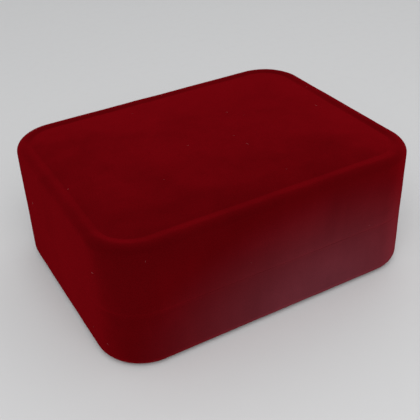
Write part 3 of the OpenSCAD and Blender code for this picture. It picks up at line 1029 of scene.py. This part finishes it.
class RINGBOX_OT_case_velvet(bpy.types.Operator):
    """Cover the lid and the base in velvet"""

    bl_idname = "ring_box.case_velvet"
    bl_label = "Case Velvet"

    def execute(self, context):
        case = context.scene.ring_box_case
        # The rub colour, place and size lay a painted reflection on the case velvet; the worn level and lift
        # lay a painted highlight along the parting line.
        cloth = velvet("case_velvet", case.colour, **{
            "Painted Reflection Colour": (*case.painted_reflection_colour, 1.0), "Painted Reflection Place": case.painted_reflection_place, "Painted Reflection Size": case.painted_reflection_size,
            "Highlight Level": (BASE_HIGH.z + LID_LOW.z) / 2, "Highlight Lift": case.parting_highlight_lift})
        place_piece(lid_velvet_piece(case, cloth), "lid", "case_velvet", "lid_velvet")
        place_piece(base_velvet_piece(case, cloth), "base", "case_velvet", "base_velvet")
        return {"FINISHED"}


class RINGBOX_OT_lint(bpy.types.Operator):
    """Scatter a few fibres of lint over the velvet"""

    bl_idname = "ring_box.lint"
    bl_label = "Lint"

    def execute(self, context):
        case = context.scene.ring_box_case
        fibre = plain("lint_fibre", (0.33, 0.09, 0.09), (0.24, 0.05, 0.05), 0.8)
        for body, seed in (("lid", 23), ("base", 9)):
            cover = bpy.data.objects[body + "_velvet_cover"]
            place_piece(lint_piece(body + "_lint", cover, seed, case, fibre), body, "case_velvet")
        return {"FINISHED"}


class RINGBOX_OT_shells(bpy.types.Operator):
    """Finish the moulded shells, the cards and the felt foot"""

    bl_idname = "ring_box.shells"
    bl_label = "Shells"

    def execute(self, context):
        plastic = plain("shell_plastic", (0.012, 0.012, 0.013), (0.03, 0.03, 0.03), 0.5)
        board = plain("grey_card", (0.33, 0.30, 0.26), (0.25, 0.22, 0.19), 0.85, 350.0, 0.05 * MM)
        for name, material in (("base_shell", plastic), ("lid_shell", plastic),
                               ("insert_board", board), ("lid_pad_card", board)):
            dress_node(name, material)
        felt = velvet("foot_felt", (0.035, 0.001, 0.002))
        place_piece(foot_piece(context.scene.ring_box_case, felt), "base", "foot_pad_felt", "base_foot_pad")
        return {"FINISHED"}


class RINGBOX_OT_collar(bpy.types.Operator):
    """Build the flocked collar that locates the lid"""

    bl_idname = "ring_box.collar"
    bl_label = "Collar"

    def execute(self, context):
        cloth = velvet("bed_velvet", context.scene.ring_box_bed.colour)
        place_piece(collar_piece(context.scene.ring_box_case, cloth), "base", "collar_flock", "base_collar")
        return {"FINISHED"}


class RINGBOX_OT_ring_bed(bpy.types.Operator):
    """Stuff the five velvet rolls that hold the rings"""

    bl_idname = "ring_box.ring_bed"
    bl_label = "Ring Bed"

    def execute(self, context):
        bed, case = context.scene.ring_box_bed, context.scene.ring_box_case
        cloth = velvet("roll_velvet", bed.colour)
        for number, name in enumerate(ROLLS, 1):
            roll = roll_piece(name, f"padded_roll_{number}", bed, case, cloth)
            place_piece(roll, "base", "roll_velvet", name, f"roll_core_{number}")
        return {"FINISHED"}


class RINGBOX_OT_lid_lining(bpy.types.Operator):
    """Pad and pleat the satin inside the lid"""

    bl_idname = "ring_box.lid_lining"
    bl_label = "Lid Lining"

    def execute(self, context):
        lining, case = context.scene.ring_box_lining, context.scene.ring_box_case
        cloth = satin("lid_satin", lining.colour)
        pad = pad_piece(lining, case, cloth)
        place_piece(pad, "lid", "lid_satin", "lid_pad_satin", "lid_pad_wadding")
        strip, flat = strip_piece(lining, case, cloth)
        place_piece(strip, "lid", "lid_satin", "lid_wall_strip")
        return {"FINISHED"}


class RINGBOX_OT_hinge(bpy.types.Operator):
    """Finish the brass hinge, its steel pin and spring, and its rivets"""

    bl_idname = "ring_box.hinge"
    bl_label = "Hinge"

    def execute(self, context):
        brass = metal("hinge_brass", (0.70, 0.50, 0.21), (0.32, 0.21, 0.09), 0.28)
        steel = metal("pin_steel", (0.34, 0.335, 0.33), (0.16, 0.155, 0.15), 0.36)
        for name, material in (("hinge_base_leaf", brass), ("hinge_lid_leaf", brass),
                               ("hinge_pin", steel), ("hinge_spring", steel)):
            dress_node(name, material)
        for body in ("base", "lid"):
            node = f"hinge_{body}_rivets"
            place_piece(rivets_piece(f"{body}_rivet_heads", node, brass), body, "hinge_brass", node)
        return {"FINISHED"}


class RINGBOX_OT_stage(bpy.types.Operator):
    """Set the floor, the lights and the camera"""

    bl_idname = "ring_box.stage"
    bl_label = "Stage"

    def execute(self, context):
        stage = context.scene.ring_box_stage
        build_floor(stage)
        build_lights(context.scene)
        build_camera(context.scene, stage)
        return {"FINISHED"}


# ---- stage ----


def build_floor(stage):
    half = 3.0
    corners = [(-half, -half, 0), (half, -half, 0), (half, half, 0), (-half, half, 0)]
    floor = new_mesh_object("floor", corners, faces=[(0, 1, 2, 3)])
    floor.data.materials.append(plain("table_top", stage.floor_colour, stage.floor_colour, 0.6, 40.0, 0.0))


# Name, place, width and height, and power of each light; all of them aim at the case
LIGHTS = (
    ("key", (-0.2, -0.42, 0.52), (0.6, 0.6), 3.4),
    ("back", (0.7, 0.6, 0.8), (0.9, 0.7), 1.0),
)
SKY_COLOUR, SKY_STRENGTH = (0.985, 0.99, 1.0, 1.0), 0.6


def area_light(name, place, size, power):
    data = bpy.data.lights.new(name, "AREA")
    data.shape = "RECTANGLE"
    data.size, data.size_y = size
    data.energy = power
    made = link_object(name, data)
    made.location = Vector(place)
    made.rotation_mode = "QUATERNION"
    made.rotation_quaternion = (-Vector(place)).to_track_quat("-Z", "Y")


def build_lights(scene):
    world = bpy.data.worlds.new("studio")
    world.use_nodes = True
    background = world.node_tree.nodes["Background"].inputs
    background["Color"].default_value = SKY_COLOUR
    background["Strength"].default_value = SKY_STRENGTH
    scene.world = world
    for light in LIGHTS:
        area_light(*light)
    scene.view_settings.view_transform = "Standard"


def build_camera(scene, stage):
    turn, lift, lean = stage.azimuth, stage.elevation, stage.roll
    back = Vector((math.sin(turn) * math.cos(lift), -math.cos(turn) * math.cos(lift), math.sin(lift)))
    right = Vector((math.cos(turn), math.sin(turn), 0))
    up = back.cross(right)
    across = right * math.cos(lean) + up * math.sin(lean)
    along = up * math.cos(lean) - right * math.sin(lean)
    middle = Vector((0, 0, scene.ring_box_case.rim_height / 2))
    place = middle + back * stage.distance - along * stage.rise
    data = bpy.data.cameras.new("camera")
    data.lens = stage.lens
    data.sensor_width = 36
    data.clip_start, data.clip_end = 0.01, 20
    made = link_object("camera", data)
    made.matrix_world = Matrix.Translation(place) @ Matrix((across, along, back)).transposed().to_4x4()
    scene.camera = made


class RINGBOX_PT_panel(bpy.types.Panel):
    """Lists the steps that build the ring box"""

    bl_idname = "RINGBOX_PT_panel"
    bl_label = "Ring Box"
    bl_space_type = "VIEW_3D"
    bl_region_type = "UI"
    bl_category = "Ring Box"

    def draw(self, context):
        for operator in OPERATORS:
            self.layout.operator(operator.bl_idname)
        for name, settings in SETTINGS.items():
            box = self.layout.box()
            for key in settings.__annotations__:
                box.prop(getattr(context.scene, name), key)


OPERATORS = (
    RINGBOX_OT_case_velvet, RINGBOX_OT_lint, RINGBOX_OT_shells, RINGBOX_OT_collar, RINGBOX_OT_ring_bed,
    RINGBOX_OT_lid_lining, RINGBOX_OT_hinge, RINGBOX_OT_stage)


def register():
    for name, settings in SETTINGS.items():
        bpy.utils.register_class(settings)
        setattr(bpy.types.Scene, name, bpy.props.PointerProperty(type=settings))
    for item in (*OPERATORS, RINGBOX_PT_panel):
        bpy.utils.register_class(item)


def unregister():
    for item in (RINGBOX_PT_panel, *reversed(OPERATORS)):
        bpy.utils.unregister_class(item)
    for name, settings in reversed(SETTINGS.items()):
        delattr(bpy.types.Scene, name)
        bpy.utils.unregister_class(settings)


def main():
    register()
    bpy.ops.ring_box.case_velvet()
    bpy.ops.ring_box.lint()
    bpy.ops.ring_box.shells()
    bpy.ops.ring_box.collar()
    bpy.ops.ring_box.ring_bed()
    bpy.ops.ring_box.lid_lining()
    bpy.ops.ring_box.hinge()
    bpy.ops.ring_box.stage()


if __name__ == "__main__":
    main()
